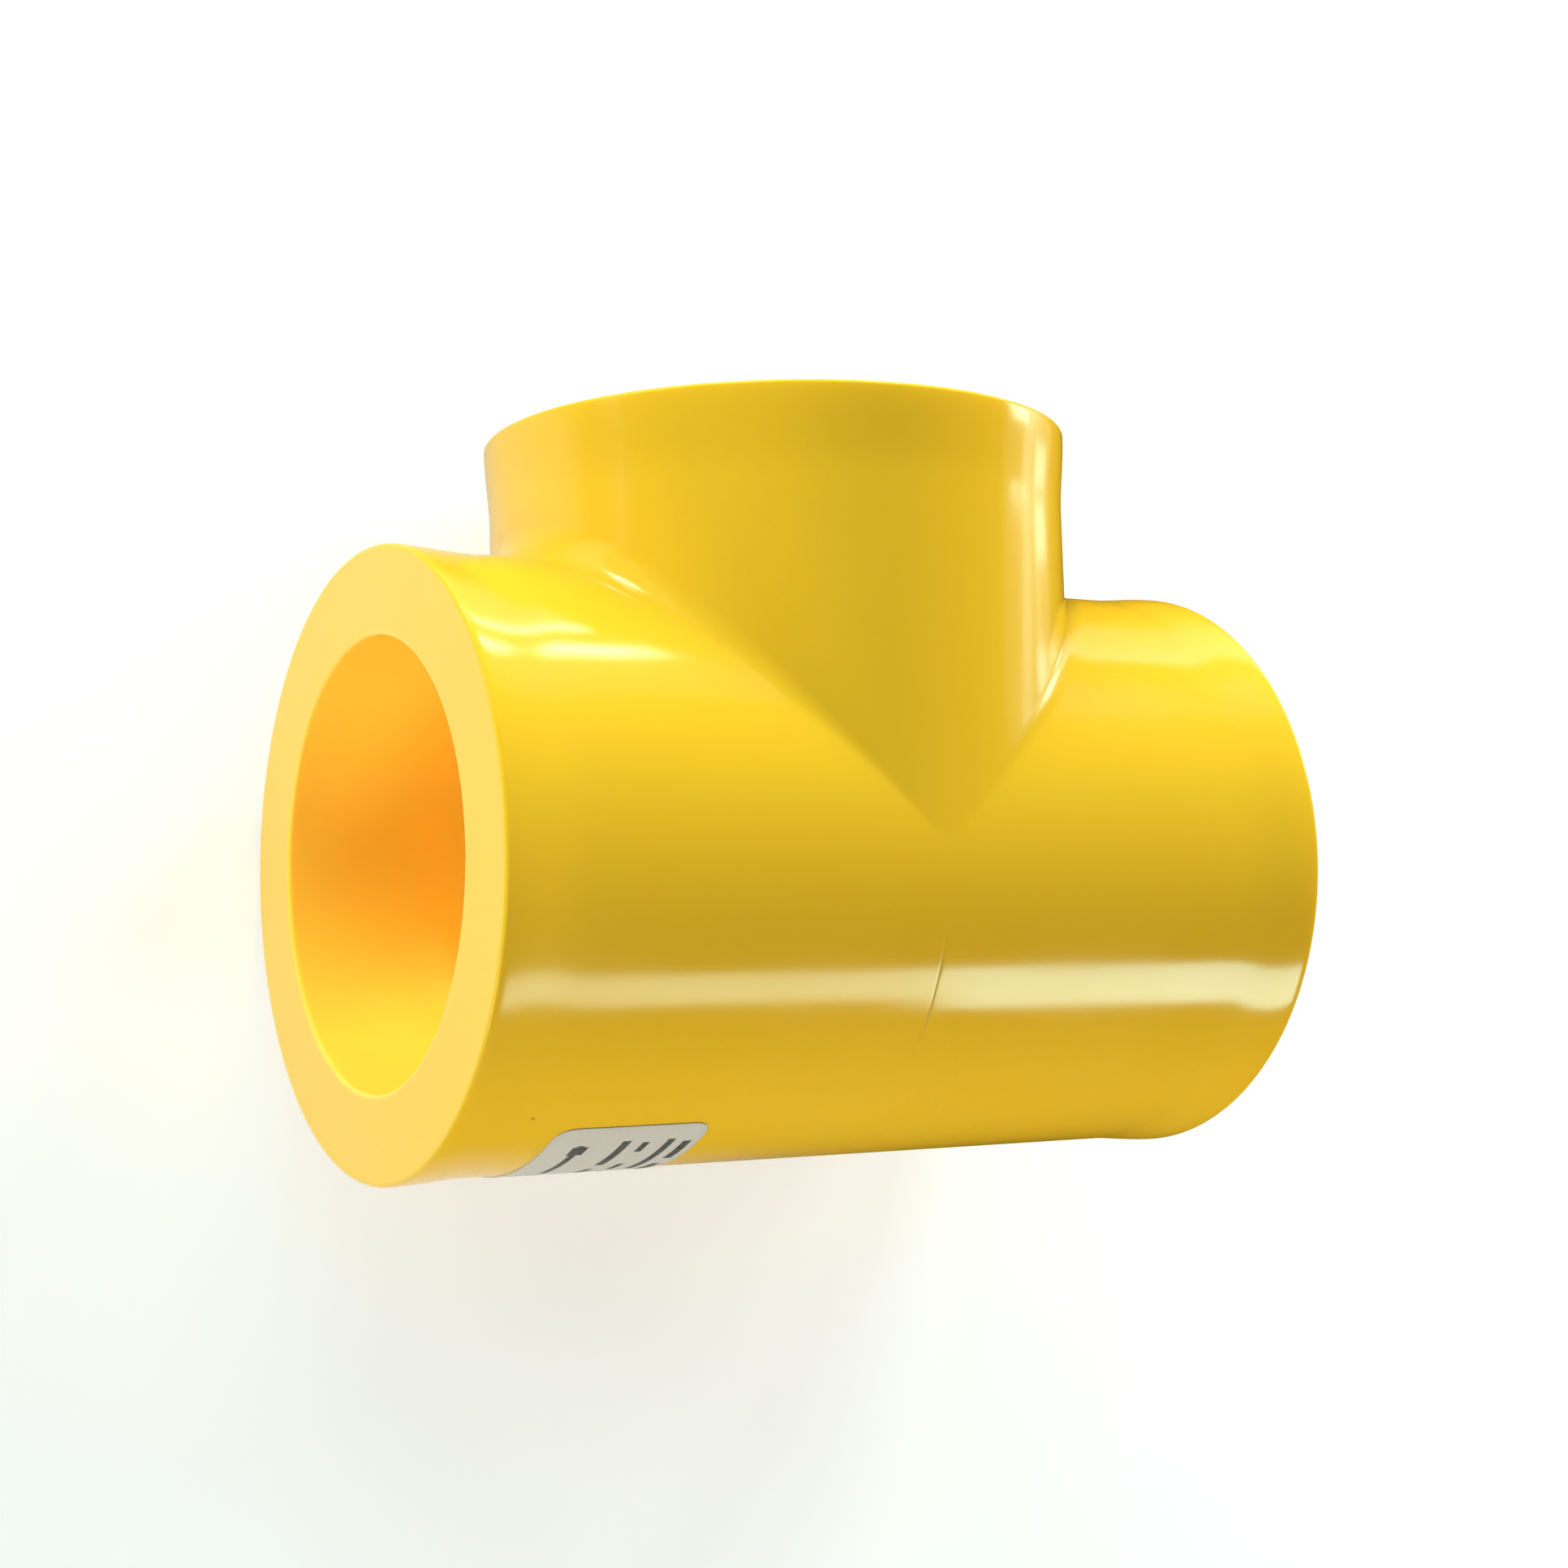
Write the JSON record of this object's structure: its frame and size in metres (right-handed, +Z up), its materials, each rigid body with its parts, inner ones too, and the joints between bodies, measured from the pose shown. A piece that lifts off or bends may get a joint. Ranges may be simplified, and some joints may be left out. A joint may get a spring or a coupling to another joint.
{
  "type": "socket fusion tee",
  "caption": "Equal pipe tee moulded in glossy yellow plastic, with a deep plain socket at each end for heat-fused pipe, a softly blended crotch and a small paper label.",
  "frame": {"origin": "on the surface that the tee lies on, under the middle of its box, so the axes of run and branch cross at X 0, Y -7.5 mm and Z 33.2 mm", "axes": "+X along the run, towards its right socket; +Y along the branch, towards its socket; +Z up, square to both"},
  "size_m": [0.1008, 0.0814, 0.0664],
  "materials": {
    "yellow_polyethylene": "glossy moulded",
    "white_paper": "coated paper"
  },
  "bodies": {
    "root": {"tee_body": "yellow_polyethylene", "label": "white_paper"}
  },
  "joints": []
}
